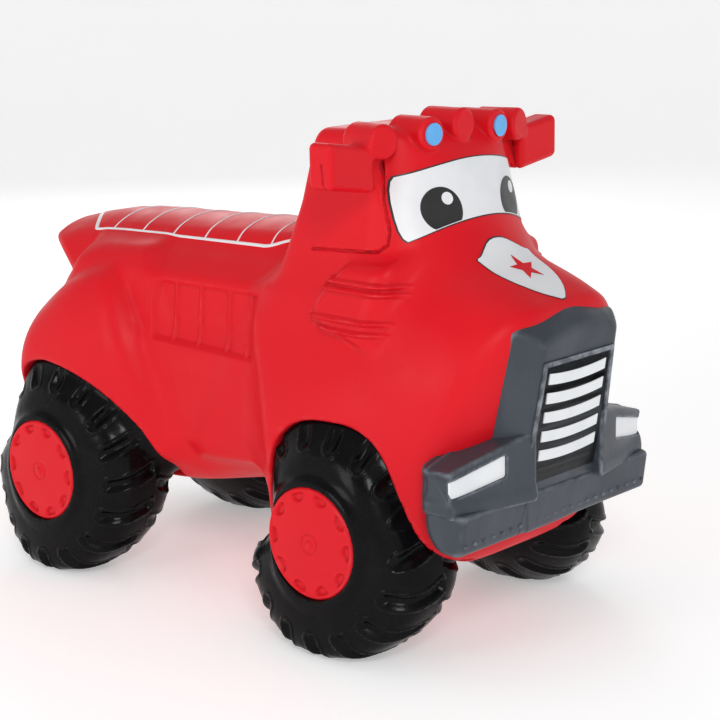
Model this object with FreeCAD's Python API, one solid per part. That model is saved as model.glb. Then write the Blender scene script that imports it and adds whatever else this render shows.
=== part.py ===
import FreeCAD, Part
import itertools
import math
import os

# Inflatable ride-on fire truck: one moulded soft-PVC air body with painted zones and an air valve.
# Millimetres. +Z up, the truck faces -Y, its right side is -X. The origin is at floor level,
# under the middle of the truck. Every zone of the moulding is a solid of its own; where two zones
# meet, the later one is trimmed by the earlier one, so that they share a face.

# Driving dimensions -----------------------------------------------------------------------------
BIG = 900.0                 # larger than the truck; used for cutting blocks

AXLE_HEIGHT = 98.0          # wheel centre above the floor
TYRE_RADIUS = 104.0         # before the tyre is flattened where it stands
FRONT_AXLE_Y = -146.0
REAR_AXLE_Y = 201.0
TYRE_INNER_X = 56.0
TYRE_OUTER_X = 153.0
HUB_RADIUS = 48.0
HUB_SEAT_X = 148.0          # bottom of the shallow seat that holds the hub cap
TREAD_GROOVES = 18
TREAD_DEPTH = 4.0
HUB_FACE_X = 155.5          # the cap's flat face
HUB_POCKETS = 10
HUB_POCKET_RING = 38.0
HUB_POCKET_RADIUS = 6.5     # of the ball that scoops each pocket

WINDSCREEN_RADIUS = 119.0   # the cab's front is part of a leaning cylinder
WINDSCREEN_Y = -204.0       # its foremost line, at WINDSCREEN_Z
WINDSCREEN_Z = 363.0
WINDSCREEN_LEAN = 0.25      # run back per unit of height
ROOF_Z = 424.0

SEAT_CROWN_RADIUS = 96.0    # the saddle is crowned from side to side
SEAT_FRONT_Z = 335.0        # height of the crown line at SEAT_FRONT_Y
SEAT_FRONT_Y = 0.0
SEAT_BREAK_Y = 190.0        # the tail drops more steeply behind this line
SEAT_SLOPE = 0.045
TAIL_SLOPE = 0.170
TAIL_Y = 290.0

BONNET_SLOPE = 0.48
BONNET_TOP_Y = -197.0       # the bonnet meets the cab here
BONNET_TOP_Z = 335.0
BONNET_NORMAL = (0, -BONNET_SLOPE, 1)
BONNET_POINT = (0, BONNET_TOP_Y, BONNET_TOP_Z)
FENDER_HALF_WIDTH = 141.0

GRILLE_FACE_Y = -303.7      # front face of the grille surround, at its top edge
GRILLE_TOP_Z = 267.0
GRILLE_LEAN = 0.158         # the face runs back towards the bottom
GRILLE_NORMAL = (0, -1, -GRILLE_LEAN)
GRILLE_POINT = (0, GRILLE_FACE_Y, GRILLE_TOP_Z)
PANEL_TOP_Z = 246.0
PANEL_BOTTOM_Z = 148.0
PANEL_TOP_HALF = 43.0
PANEL_BOTTOM_HALF = 49.0
FRAME_WIDTH = 4.0           # raised lip round the grille panel
FRAME_PROUD = 1.5
SLAT_COUNT = 5
SLAT_PITCH = 16.0
SLAT_HEIGHT = 9.0
SLAT_HALF = 38.0
SLAT_SAG = 2.5              # each slat hangs a little in the middle

BUMPER_FACE_Y = -285.0
BUMPER_TOP_Z = 140.0
BUMPER_BOTTOM_Z = 106.0
BUMPER_HALF = 128.0
RIVET_COUNT = 22
RIVET_RADIUS = 1.8
RIVET_Z = 115.0
RIVET_HALF_SPAN = 121.0
HEADLIGHT_NORMAL = (0.23, -1, 0)
HEADLIGHT_POINT = (75, -286, 0)

LAMP_RADIUS = 13.5
LAMP_LENGTH = 40.0
LENS_RADIUS = 9.0
LENS_THICK = 1.5
LAMP_PLACES = (             # x, y and z of each lamp's front face, and how far it fans out in degrees
    (-88, -176, 414, -12),
    (-43, -187, 422, -5),
    (0, -189, 425, 0),
    (43, -187, 422, 5),
    (88, -176, 414, 12),
)

SKIN = 0.8                  # thickness of a painted or printed area

REAR_FACE_Y = 284.0         # flat rear face of the hull, where the valve sits
VALVE_Z = 168.0
VALVE_BORE = 4.5            # radius of the sleeve's hole
PLUG_CLEARANCE = 0.05
PLUG_STEM = 14.0
PLUG_HEAD_RADIUS = 9.0
PLUG_HEAD_THICK = 3.0
BOSS_RADIUS = 17.0
BOSS_PROUD = 3.0


def vector(x, y, z):
    return FreeCAD.Vector(x, y, z)


# Solid helpers ----------------------------------------------------------------------------------
def both_sides(planes):
    """The same planes on the left and on the right of the truck."""
    result = []
    for normal, point in planes:
        result.append((normal, point))
        if normal[0] != 0:
            result.append(((-normal[0], normal[1], normal[2]), (-point[0], point[1], point[2])))
    return result


WORK_BOX = [
    ((1, 0, 0), (BIG, 0, 0)),
    ((-1, 0, 0), (-BIG, 0, 0)),
    ((0, 1, 0), (0, BIG, 0)),
    ((0, -1, 0), (0, -BIG, 0)),
    ((0, 0, 1), (0, 0, BIG)),
    ((0, 0, -1), (0, 0, -BIG)),
]


def meeting_point(first, second, third):
    """Where three planes meet, or None if they don't meet in one point."""
    cross = second[0].cross(third[0])
    scale = first[0].dot(cross)
    if abs(scale) < 1e-9:
        return None
    total = cross * first[1] + third[0].cross(first[0]) * second[1] + first[0].cross(second[0]) * third[1]
    return total * (1 / scale)


def ordered_face(normal, corners):
    """A flat face through the corners, taken in turn round its normal."""
    centre = sum(corners, vector(0, 0, 0)) * (1 / len(corners))
    across = (corners[0] - centre).normalize()
    along = normal.cross(across)
    corners.sort(key=lambda c: math.atan2((c - centre).dot(along), (c - centre).dot(across)))
    return Part.Face(Part.makePolygon(corners + corners[:1]))


def faceted(planes):
    """The convex block that lies inside all the given (outward normal, point) planes."""
    walls = []
    for normal, point in list(planes) + WORK_BOX:
        unit = vector(*normal).normalize()
        walls.append((unit, unit.dot(vector(*point))))
    corners = []
    for trio in itertools.combinations(walls, 3):
        point = meeting_point(*trio)
        inside = point is not None and all(n.dot(point) < d + 1e-6 for n, d in walls)
        if inside and all(point.distanceToPoint(c) > 1e-4 for c in corners):
            corners.append(point)
    faces = []
    for normal, distance in walls:
        on_wall = [c for c in corners if abs(normal.dot(c) - distance) < 1e-4]
        if len(on_wall) > 2:
            faces.append(ordered_face(normal, on_wall))
    return Part.makeSolid(Part.makeShell(faces))


def rounded(solid, radius):
    """Round every edge of a block."""
    return solid.makeFillet(radius, solid.Edges)


def mirrored(solid):
    return solid.mirror(vector(0, 0, 0), vector(1, 0, 0))


def polygon_prism(points, direction):
    """Extrude a closed outline of 3-D points."""
    corners = [vector(*p) for p in points]
    face = Part.Face(Part.makePolygon(corners + corners[:1]))
    return face.extrude(vector(*direction))


def front_prism(outline):
    """Extrude an X-Z outline right through the truck's front half."""
    return polygon_prism([(x, -BIG / 2, z) for x, z in outline], (0, BIG / 2, 0))


def between_planes(solid, normal, point, inner, outer):
    """The part of a solid that lies from inner to outer along a plane's normal."""
    unit = vector(*normal).normalize()
    low = vector(*point) + unit * inner
    high = vector(*point) + unit * outer
    backward = (-normal[0], -normal[1], -normal[2])
    return solid.common(faceted([(normal, tuple(high)), (backward, tuple(low))]))


# Wheels -----------------------------------------------------------------------------------------
def turned(profile, centre_y):
    """Turn an (x, radius) profile about a wheel's axle."""
    points = [(x, centre_y, AXLE_HEIGHT + r) for x, r in profile]
    corners = [vector(*p) for p in points]
    face = Part.Face(Part.makePolygon(corners + corners[:1]))
    return face.revolve(vector(0, centre_y, AXLE_HEIGHT), vector(1, 0, 0), 360)


def tyre_envelope(centre_y):
    """The round balloon shape of a left tyre, without its tread."""
    profile = [
        (TYRE_INNER_X, 0),
        (TYRE_INNER_X, 66),
        (TYRE_INNER_X + 8, 92),
        (TYRE_INNER_X + 26, TYRE_RADIUS),
        (TYRE_OUTER_X - 33, TYRE_RADIUS),
        (TYRE_OUTER_X - 11, 95),
        (TYRE_OUTER_X, 72),
        (TYRE_OUTER_X, 0),
    ]
    solid = turned(profile, centre_y)
    rim_edges = [e for e in solid.Edges if e.Closed and e.BoundBox.ZLength > 100]
    solid = solid.makeFillet(9, rim_edges)
    floor_side = Part.makeBox(BIG, BIG, BIG, vector(-BIG / 2, -BIG / 2, -BIG))
    return solid.cut(floor_side)


def tread_groove(centre_y, angle):
    """One slanted groove across the tread, at an angle from straight down."""
    width = 9.0
    groove = Part.makeBox(62, width, 2 * TREAD_DEPTH, vector(-31, -width / 2, -TREAD_DEPTH))
    groove.rotate(vector(0, 0, 0), vector(0, 0, 1), 14)
    groove.translate(vector(TYRE_INNER_X + 48, centre_y, AXLE_HEIGHT - TYRE_RADIUS))
    groove.rotate(vector(0, centre_y, AXLE_HEIGHT), vector(1, 0, 0), angle)
    return groove


def tyre(envelope, centre_y):
    """A left tyre: tread grooves all round the exposed part, and a seat for the hub cap."""
    pitch = 360.0 / TREAD_GROOVES
    angles = [pitch * (i + 0.5) for i in range(-5, 5)]
    solid = envelope.cut([tread_groove(centre_y, a) for a in angles])
    seat = Part.makeCylinder(HUB_RADIUS, 20, vector(HUB_SEAT_X, centre_y, AXLE_HEIGHT), vector(1, 0, 0))
    return solid.cut(seat)


def hub_cap(centre_y):
    """A shallow dome with a ring of scooped pockets and a small nub."""
    profile = [
        (HUB_SEAT_X, 0),
        (HUB_SEAT_X, HUB_RADIUS),
        (TYRE_OUTER_X, HUB_RADIUS),
        (HUB_FACE_X, HUB_RADIUS - 3),
        (HUB_FACE_X, 4),
        (HUB_FACE_X + 2, 3),
        (HUB_FACE_X + 2, 0),
    ]
    solid = turned(profile, centre_y)
    pockets = []
    for i in range(HUB_POCKETS):
        angle = 2 * math.pi * i / HUB_POCKETS
        y = centre_y + HUB_POCKET_RING * math.cos(angle)
        z = AXLE_HEIGHT + HUB_POCKET_RING * math.sin(angle)
        pockets.append(Part.makeSphere(HUB_POCKET_RADIUS, vector(HUB_FACE_X + 3.5, y, z)))
    return solid.cut(pockets)


# Hull zones -------------------------------------------------------------------------------------
def bonnet_and_fenders():
    planes = both_sides([
        ((1, 0, 0), (FENDER_HALF_WIDTH, 0, 0)),
        ((0.9, 0, 0.43), (128, 0, 226)),
        ((0.9, -0.5, 0), (FENDER_HALF_WIDTH, -220, 0)),
        ((0, 0, 1), (0, 0, BONNET_TOP_Z)),
        ((0, -BONNET_SLOPE, 1), (0, BONNET_TOP_Y, BONNET_TOP_Z)),
        ((0, -1, -0.12), (0, -283, 230)),
        ((0, 0, -1), (0, 0, 82)),
        ((0, 1, 0), (0, -45, 0)),
        ((0, 1, 0.33), (0, -52, 315)),
    ])
    return rounded(faceted(planes), 22)


def windscreen_cylinder(offset):
    """The leaning cylinder that carries the cab's front and the windscreen."""
    reach = BIG / 2
    axis = vector(0, WINDSCREEN_LEAN, 1)
    base = vector(0, WINDSCREEN_Y + WINDSCREEN_RADIUS, WINDSCREEN_Z) - axis * reach
    return Part.makeCylinder(WINDSCREEN_RADIUS + offset, 3 * reach, base, axis)


def cab():
    planes = both_sides([
        ((1, 0, 0.15), (84, 0, 362)),
        ((0, 1, 0.14), (0, -80, 397)),
        ((0.05, 0, 1), (0, 0, ROOF_Z + 2)),
        ((0, 0, -1), (0, 0, 192)),
    ])
    return faceted(planes).common(windscreen_cylinder(0))


def cab_back():
    """The flared foot behind the cab, down to the saddle."""
    planes = both_sides([
        ((1, 0, 0.22), (86, 0, 320)),
        ((0, 1, 0.55), (0, -64, 353)),
        ((0, -1, 0), (0, -130, 0)),
        ((0, 0, 1), (0, 0, 385)),
        ((0, 0, -1), (0, 0, 240)),
    ])
    return faceted(planes)


def saddle(offset):
    """Everything under the crowned saddle top; offset lifts the top face."""
    top_parts = []
    for centre_y, centre_z, slope in (
        (SEAT_FRONT_Y, SEAT_FRONT_Z, SEAT_SLOPE),
        (SEAT_BREAK_Y, SEAT_FRONT_Z - SEAT_SLOPE * (SEAT_BREAK_Y - SEAT_FRONT_Y), TAIL_SLOPE),
    ):
        axis = vector(0, 1, -slope)
        base = vector(0, centre_y, centre_z - SEAT_CROWN_RADIUS) - axis * BIG
        top_parts.append(Part.makeCylinder(SEAT_CROWN_RADIUS + offset, 2 * BIG * 1.1, base, axis))
    return top_parts[0].common(top_parts[1])


def seat_deck():
    planes = both_sides([
        ((1, 0, 0.62), (62, 0, 298)),
        ((0.06, 1, -0.30), (0, TAIL_Y, 302)),
        ((0, -1, 0), (0, -110, 0)),
        ((0, 0, -1), (0, 0, 262)),
    ])
    return faceted(planes).common(saddle(0))


def rear_fenders():
    fender = rounded(faceted(both_sides([
        ((1, 0, 0), (138, 0, 0)),
        ((0.8, 0, 0.6), (113, 0, 262)),
        ((0, 0.12, 1), (0, 180, 284)),
        ((0, 1, 0.42), (0, 266, 214)),
        ((0, 1, 0), (0, 284, 0)),
        ((0, -1, 0.7), (0, 90, 230)),
        ((0, -1, 0), (0, 60, 0)),
        ((0, 0, -1), (0, 0, 112)),
    ])), 22)
    step = rounded(faceted(both_sides([
        ((0.9, 0, 0.5), (84, 0, 296)),
        ((0, 0.06, 1), (0, 170, 301)),
        ((0, -1, 0.6), (0, 104, 285)),
        ((0, 1, 0.3), (0, 262, 262)),
        ((0, 0, -1), (0, 0, 220)),
    ])), 10)
    return fender.fuse(step).removeSplitter()


def waist():
    """The middle of the hull: belly, lower side panels and upper shutter panels."""
    belly = rounded(Part.makeBox(168, 240, 150, vector(-84, -90, 95)), 34)
    lower = rounded(Part.makeBox(202, 240, 84, vector(-101, -90, 146)), 14)
    upper = rounded(Part.makeBox(184, 240, 104, vector(-92, -90, 186)), 14)
    solid = belly.fuse([lower, upper]).removeSplitter()
    return solid.cut(shutter_grooves())


def shutter_grooves():
    """Upright grooves that divide each shutter panel."""
    grooves = []
    for side in (-1, 1):
        for y in (-29, 3, 36, 70, 100):
            grooves.append(Part.makeBox(4, 2.5, 46, vector(side * 92 - 2, y, 228)))
    return grooves


# Trim on the hull -------------------------------------------------------------------------------
def handle():
    """The left hand grip: a flat paddle that rises a little towards its tip."""
    solid = Part.makeBox(94, 25, 33, vector(53, -170.5, 379.5))
    solid = rounded(solid, 8)
    solid.rotate(vector(85, -158, 396), vector(0, 1, 0), -8)
    return solid


def roof_lamp(x, y, z, fan_degrees):
    """A lamp pod lying on the roof's front edge, its front face at the given point."""
    pod = Part.makeCylinder(LAMP_RADIUS, LAMP_LENGTH, vector(0, 0, 0), vector(0, 1, 0))
    front_edge = [e for e in pod.Edges if e.Closed and abs(e.CenterOfMass.y) < 0.1]
    pod = pod.makeFillet(3, front_edge)
    pod.rotate(vector(0, 0, 0), vector(0, 0, 1), fan_degrees)
    pod.translate(vector(x, y, z))
    return pod


def lamp_lens(x, y, z, fan_degrees):
    lens = Part.makeCylinder(LENS_RADIUS, LENS_THICK, vector(0, -LENS_THICK, 0), vector(0, 1, 0))
    lens.rotate(vector(0, 0, 0), vector(0, 0, 1), fan_degrees)
    lens.translate(vector(x, y, z))
    return lens


def side_stack():
    """The left intake stack: a rounded block with two pairs of ribs round it."""
    stack = rounded(Part.makeBox(30, 68, 66, vector(84, -184, 254)), 10)
    ribs = []
    for z in (268, 279, 300, 309):
        rib = rounded(Part.makeBox(32, 71, 4, vector(84, -185.5, z)), 1.5)
        ribs.append(rib)
    return stack.fuse(ribs).removeSplitter()


def step_block():
    """The small left block where the cab's foot meets the shutter panel."""
    return rounded(Part.makeBox(20, 30, 15, vector(80, -70, 275)), 5)


# Front end --------------------------------------------------------------------------------------
def grille_surround():
    planes = both_sides([
        (GRILLE_NORMAL, GRILLE_POINT),
        ((1, -0.9, -0.109), (50, GRILLE_FACE_Y, GRILLE_TOP_Z)),
        ((0.13, -0.7, 0.7), (51, GRILLE_FACE_Y, GRILLE_TOP_Z)),
        ((0.1, -0.25, 1), (0, -288, 289)),
        ((1, 0, 0), (72, 0, 0)),
        ((0, 1, 0), (0, -262, 0)),
        ((0, 0, -1), (0, 0, BUMPER_TOP_Z)),
    ])
    return faceted(planes)


def panel_outline(grow):
    return [
        (-PANEL_TOP_HALF - grow, PANEL_TOP_Z + grow),
        (PANEL_TOP_HALF + grow, PANEL_TOP_Z + grow),
        (PANEL_BOTTOM_HALF + grow, PANEL_BOTTOM_Z),
        (-PANEL_BOTTOM_HALF - grow, PANEL_BOTTOM_Z),
    ]


def grille_plate(outline, inner, outer):
    """A flat plate on the grille face, from inner to outer along its normal."""
    return between_planes(front_prism(outline), GRILLE_NORMAL, GRILLE_POINT, inner, outer)


def grille_panel():
    return grille_plate(panel_outline(0), -SKIN, 0)


def grille_frame():
    outer = grille_plate(panel_outline(FRAME_WIDTH), 0, FRAME_PROUD)
    return outer.cut(front_prism(panel_outline(0)))


def grille_slat(index):
    """One white slat: a bar whose long edges are arcs that sag in the middle."""
    top = PANEL_TOP_Z - 6 - SLAT_PITCH * index
    bottom = top - SLAT_HEIGHT

    def point(x, z):
        return vector(x, -BIG / 2, z)

    upper = Part.Arc(point(-SLAT_HALF, top), point(0, top - SLAT_SAG), point(SLAT_HALF, top))
    lower = Part.Arc(point(SLAT_HALF, bottom), point(0, bottom - SLAT_SAG), point(-SLAT_HALF, bottom))
    edges = [
        upper.toShape(),
        Part.makeLine(point(SLAT_HALF, top), point(SLAT_HALF, bottom)),
        lower.toShape(),
        Part.makeLine(point(-SLAT_HALF, bottom), point(-SLAT_HALF, top)),
    ]
    bar = Part.Face(Part.Wire(edges)).extrude(vector(0, BIG / 2, 0))
    return between_planes(bar, GRILLE_NORMAL, GRILLE_POINT, 0, 1.0)


def bumper():
    planes = both_sides([
        ((0, -1, -0.15), (0, BUMPER_FACE_Y, BUMPER_TOP_Z)),
        ((0.98, -0.2, 0), (BUMPER_HALF, BUMPER_FACE_Y, 0)),
        ((0, 0, 1), (0, 0, BUMPER_TOP_Z)),
        ((0, 0, -1), (0, 0, BUMPER_BOTTOM_Z)),
        ((0, 1, 0), (0, -238, 0)),
    ])
    return rounded(faceted(planes), 4)


def bumper_rivets(bumper_solid):
    """A row of small domed rivets along the bumper's lower edge."""
    face_y = BUMPER_FACE_Y + 0.15 * (BUMPER_TOP_Z - RIVET_Z)
    rivets = []
    for i in range(RIVET_COUNT):
        x = -RIVET_HALF_SPAN + 2 * RIVET_HALF_SPAN * i / (RIVET_COUNT - 1)
        dome = Part.makeSphere(RIVET_RADIUS, vector(x, face_y, RIVET_Z))
        rivets.append(dome.cut(bumper_solid).Solids[0])
    return Part.makeCompound(rivets)


def headlight_housing():
    planes = [
        ((1, -0.12, 0), (133, -265, 0)),
        (HEADLIGHT_NORMAL, HEADLIGHT_POINT),
        ((0.25, 0, 1), (75, 0, 188)),
        ((0, 1, 0), (0, -240, 0)),
        ((0, 0, -1), (0, 0, BUMPER_TOP_Z)),
        ((-1, 0, 0), (50, 0, 0)),
    ]
    return faceted(planes)


def headlight_opening():
    outline = [(75, 180), (128, 167), (128, 152), (75, 162)]
    return front_prism(outline)


def headlight_lens():
    return between_planes(headlight_opening(), HEADLIGHT_NORMAL, HEADLIGHT_POINT, -4, -2)


def headlight_recess():
    return between_planes(headlight_opening(), HEADLIGHT_NORMAL, HEADLIGHT_POINT, -4, 4)


# Painted face -----------------------------------------------------------------------------------
def on_windscreen(prism, inner, outer):
    """The part of a front prism that lies in a thin skin on the windscreen cylinder."""
    skin = windscreen_cylinder(outer).cut(windscreen_cylinder(inner))
    return prism.common(skin)


def windscreen_prism():
    """A wide window with arched top and bottom edges, extruded through the cab's front."""

    def point(x, z):
        return vector(x, -BIG / 2, z)

    top = Part.Arc(point(-75, 388), point(0, 399), point(75, 388))
    bottom = Part.Arc(point(76, 338), point(0, 351), point(-76, 338))
    edges = [
        top.toShape(),
        Part.makeLine(point(75, 388), point(76, 338)),
        bottom.toShape(),
        Part.makeLine(point(-76, 338), point(-75, 388)),
    ]
    return Part.Face(Part.Wire(edges)).extrude(vector(0, BIG / 2, 0))


def windscreen_panel():
    return on_windscreen(windscreen_prism(), 0, SKIN)


def round_prism(x, z, radius):
    return Part.makeCylinder(radius, BIG / 2, vector(x, -BIG / 2, z), vector(0, 1, 0))


def pupil(side):
    """A round pupil, cut off below by the windscreen's lower edge."""
    disc = round_prism(side * 41, 361, 17)
    return on_windscreen(disc.common(windscreen_prism()), SKIN, 2 * SKIN)


def eye_highlight(side):
    return on_windscreen(round_prism(side * 41 + 6, 370, 5), 2 * SKIN, 3 * SKIN)


def on_bonnet(outline, inner, outer):
    prism = polygon_prism([(x, y, 200) for x, y in outline], (0, 0, 200))
    return between_planes(prism, BONNET_NORMAL, BONNET_POINT, inner, outer)


def bonnet_badge():
    """A plain shield, its point towards the grille."""
    half = [(0, -287), (16, -276), (29, -258), (33, -238), (27, -230), (14, -222), (0, -219)]
    outline = half + [(-x, y) for x, y in reversed(half[1:-1])]
    return on_bonnet(outline, 0, SKIN)


def badge_star():
    outline = []
    for i in range(10):
        radius = 14.0 if i % 2 == 0 else 5.6
        angle = math.pi / 2 + math.pi * i / 5
        outline.append((radius * math.cos(angle), -248 + radius * math.sin(angle)))
    return on_bonnet(outline, SKIN, 2 * SKIN)


def seat_piping():
    """White lines on the saddle: two edge lines, seven cross lines and a pointed rear end."""
    line = 2.5
    half = 50.0
    front_y = -20.0
    rear_y = 226.0
    bars = []
    for side in (-1, 1):
        x = side * half - line / 2
        bars.append(Part.makeBox(line, rear_y - front_y, 200, vector(x, front_y, 200)))
        chevron = [
            (side * (half + line / 2), rear_y, 200),
            (side * (half - line / 2), rear_y - line, 200),
            (0, 268, 200),
            (0, 273, 200),
        ]
        bars.append(polygon_prism(chevron, (0, 0, 200)))
    for i in range(7):
        y = front_y + (204 - front_y) * i / 6
        bars.append(Part.makeBox(2 * half, 1.6, 200, vector(-half, y, 200)))
    pattern = bars[0].fuse(bars[1:]).removeSplitter()
    return pattern.common(saddle(SKIN).cut(saddle(0)))


# Air valve --------------------------------------------------------------------------------------
def rear_cylinder(radius, start_y, end_y):
    return Part.makeCylinder(radius, end_y - start_y, vector(0, start_y, VALVE_Z), vector(0, 1, 0))


def valve_boss():
    """The thick round boss moulded round the valve hole."""
    boss = rear_cylinder(BOSS_RADIUS, REAR_FACE_Y - 20, REAR_FACE_Y + BOSS_PROUD)
    outer_edge = [e for e in boss.Edges if e.Closed and e.CenterOfMass.y > REAR_FACE_Y]
    boss = boss.makeFillet(1.5, outer_edge)
    return boss.cut(rear_cylinder(VALVE_BORE, REAR_FACE_Y - 20, REAR_FACE_Y + 10))


def valve_plug():
    """The push-in plug: a flat head, a stem and a small pull tab."""
    seat_y = REAR_FACE_Y + BOSS_PROUD
    head = rear_cylinder(PLUG_HEAD_RADIUS, seat_y, seat_y + PLUG_HEAD_THICK)
    stem = rear_cylinder(VALVE_BORE - PLUG_CLEARANCE, seat_y - PLUG_STEM, seat_y)
    tab = Part.makeBox(8, 4, 2, vector(-4, seat_y + PLUG_HEAD_THICK - 1, VALVE_Z - 1))
    return head.fuse([stem, tab]).removeSplitter()


# Assembly ---------------------------------------------------------------------------------------
def build_nodes():
    nodes = {}

    tyres = []
    for end, centre_y in (("front", FRONT_AXLE_Y), ("rear", REAR_AXLE_Y)):
        envelope = tyre_envelope(centre_y)
        left_tyre = tyre(envelope, centre_y)
        left_hub = hub_cap(centre_y)
        nodes[f"tyre_{end}_left"] = left_tyre
        nodes[f"tyre_{end}_right"] = mirrored(left_tyre)
        nodes[f"hub_cap_{end}_left"] = left_hub
        nodes[f"hub_cap_{end}_right"] = mirrored(left_hub)
        tyres += [envelope, mirrored(envelope)]

    surround = grille_surround()
    frame = grille_frame()
    bumper_solid = bumper().cut(tyres)
    housing = headlight_housing().cut([surround, frame, bumper_solid] + tyres)
    lens = headlight_lens()
    front_end = [surround, bumper_solid, housing, mirrored(housing)]

    nose = bonnet_and_fenders()
    cab_solid = cab().fuse(cab_back()).removeSplitter().cut(nose)
    seat = seat_deck().cut([nose, cab_solid])
    boss = valve_boss()
    rear = rear_fenders().cut([seat, boss, rear_cylinder(VALVE_BORE, REAR_FACE_Y - 20, REAR_FACE_Y + 1)] + tyres)
    middle = waist().cut([nose, cab_solid, seat, rear] + tyres)
    nose = nose.cut(front_end + tyres)

    nodes["hull_front"] = nose
    nodes["cab"] = cab_solid
    nodes["seat_deck"] = seat
    nodes["hull_rear"] = rear
    nodes["hull_waist"] = middle

    hull = [nose, cab_solid, seat, rear, middle]
    stack = side_stack().cut(hull)
    block = step_block().cut(hull)
    grip = handle().cut(cab_solid)
    for name, solid in (("side_stack", stack), ("step_block", block), ("handle", grip)):
        nodes[f"{name}_left"] = solid
        nodes[f"{name}_right"] = mirrored(solid)

    for i, place in enumerate(LAMP_PLACES):
        nodes[f"roof_lamp_{i + 1}"] = roof_lamp(*place).cut([cab_solid, grip, mirrored(grip)])
    nodes["lamp_lens_right"] = lamp_lens(*LAMP_PLACES[1]).cut(cab_solid)
    nodes["lamp_lens_left"] = lamp_lens(*LAMP_PLACES[3]).cut(cab_solid)

    panel = grille_panel()
    nodes["grille_surround"] = surround.cut(panel)
    nodes["grille_panel"] = panel
    nodes["grille_frame"] = frame
    for i in range(SLAT_COUNT):
        nodes[f"grille_slat_{i + 1}"] = grille_slat(i)

    nodes["bumper"] = bumper_solid
    nodes["bumper_rivets"] = bumper_rivets(bumper_solid)
    housing = housing.cut(headlight_recess())
    nodes["headlight_housing_left"] = housing
    nodes["headlight_housing_right"] = mirrored(housing)
    nodes["headlight_lens_left"] = lens
    nodes["headlight_lens_right"] = mirrored(lens)

    nodes["windscreen_panel"] = windscreen_panel()
    for side, name in ((-1, "right"), (1, "left")):
        nodes[f"pupil_{name}"] = pupil(side)
        nodes[f"eye_highlight_{name}"] = eye_highlight(side)
    nodes["bonnet_badge"] = bonnet_badge()
    nodes["badge_star"] = badge_star()
    nodes["seat_piping"] = seat_piping()

    nodes["valve_boss"] = boss
    nodes["valve_plug"] = valve_plug()
    return nodes


def main():
    os.makedirs("parts", exist_ok=True)
    box = FreeCAD.BoundBox()
    for name, shape in build_nodes().items():
        shape.exportStep(f"parts/{name}.step")
        box.add(shape.BoundBox)
        print(name, len(shape.Solids), shape.isValid(), round(shape.Volume / 1000, 2), "cm3")
    print("size", round(box.XLength, 1), round(box.YLength, 1), round(box.ZLength, 1))
    print("y", round(box.YMin, 2), round(box.YMax, 2), "z", round(box.ZMin, 2), round(box.ZMax, 2))


main()
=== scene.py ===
import math

import bmesh
import bpy
import numpy as np
from mathutils import Matrix, Vector
from mathutils.geometry import delaunay_2d_cdt


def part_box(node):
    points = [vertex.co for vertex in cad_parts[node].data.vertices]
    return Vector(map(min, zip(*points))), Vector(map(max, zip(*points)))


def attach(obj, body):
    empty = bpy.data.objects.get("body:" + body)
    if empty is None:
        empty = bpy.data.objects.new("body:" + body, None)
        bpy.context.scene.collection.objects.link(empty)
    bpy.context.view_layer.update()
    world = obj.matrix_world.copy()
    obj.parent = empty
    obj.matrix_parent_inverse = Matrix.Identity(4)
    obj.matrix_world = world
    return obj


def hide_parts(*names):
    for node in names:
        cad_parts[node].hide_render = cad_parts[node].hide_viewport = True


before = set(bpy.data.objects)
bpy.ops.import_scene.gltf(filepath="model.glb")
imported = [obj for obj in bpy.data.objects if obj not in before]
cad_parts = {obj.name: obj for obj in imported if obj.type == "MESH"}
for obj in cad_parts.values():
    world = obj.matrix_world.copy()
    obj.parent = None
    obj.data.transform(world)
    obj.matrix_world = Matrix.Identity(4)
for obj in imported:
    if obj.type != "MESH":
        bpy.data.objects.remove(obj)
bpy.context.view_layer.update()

# Inflatable ride-on fire truck. The red moulding is one continuous skin: its zones are distance
# fields in millimetres that are blended softly into each other and then turned into a mesh.
# A field takes p, the arrays x, y and z. In the hull's zones, the tyres, the hub caps and the
# headlight housing x is the distance from the middle plane, so that both sides are alike.

MM = 0.001                  # metres in a millimetre


# Places taken from the CAD ------------------------------------------------------------------------
def cad_box(node):
    """Lowest and highest corner of a CAD node, in millimetres."""
    low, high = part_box(node)
    return np.array(low) / MM, np.array(high) / MM


def cad_middle(node):
    low, high = cad_box(node)
    return (low + high) / 2


HUB_LOW, HUB_HIGH = cad_box("hub_cap_front_left")
HUB_RADIUS = (HUB_HIGH[2] - HUB_LOW[2]) / 2
HUB_NUB_X = HUB_HIGH[0]
AXLE_Z = cad_middle("hub_cap_front_left")[2]
FRONT_AXLE_Y = cad_middle("hub_cap_front_left")[1]
REAR_AXLE_Y = cad_middle("hub_cap_rear_left")[1]
VALVE_Z = cad_middle("valve_plug")[2]
VALVE_FACE_Y = cad_box("valve_boss")[1][1]

# Sizes of the looks, in millimetres ---------------------------------------------------------------
HULL_STEP = 2.6             # mesh sizes: the red skin, the tyres, the hub caps and grey parts
TYRE_STEP = 2.0
TRIM_STEP = 1.3

SADDLE_Y = (-90, -40, 10, 60, 120, 180, 225, 260, 295)
SADDLE_Z = (338, 335, 334, 332, 330, 329, 326, 320, 312)
DOOR_LINE = ((-160, 405), (-164, 372), (-172, 346), (-172, 336), (-165, 330), (-95, 327))
SHUTTER_RIB_Y = (72, 40, 4, -24)
STACK_RIB_Z = (267.5, 276.5, 299.5, 306)
LAMP_RADIUS = 14.0
LAMP_LENGTH = 40
LAMP_PLACES = ((0, -185, 426, 0), (43, -187, 422, 5), (88, -175, 419, 12))  # x, y, z, degrees
VALVE_POCKET_RADIUS = 14

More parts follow.
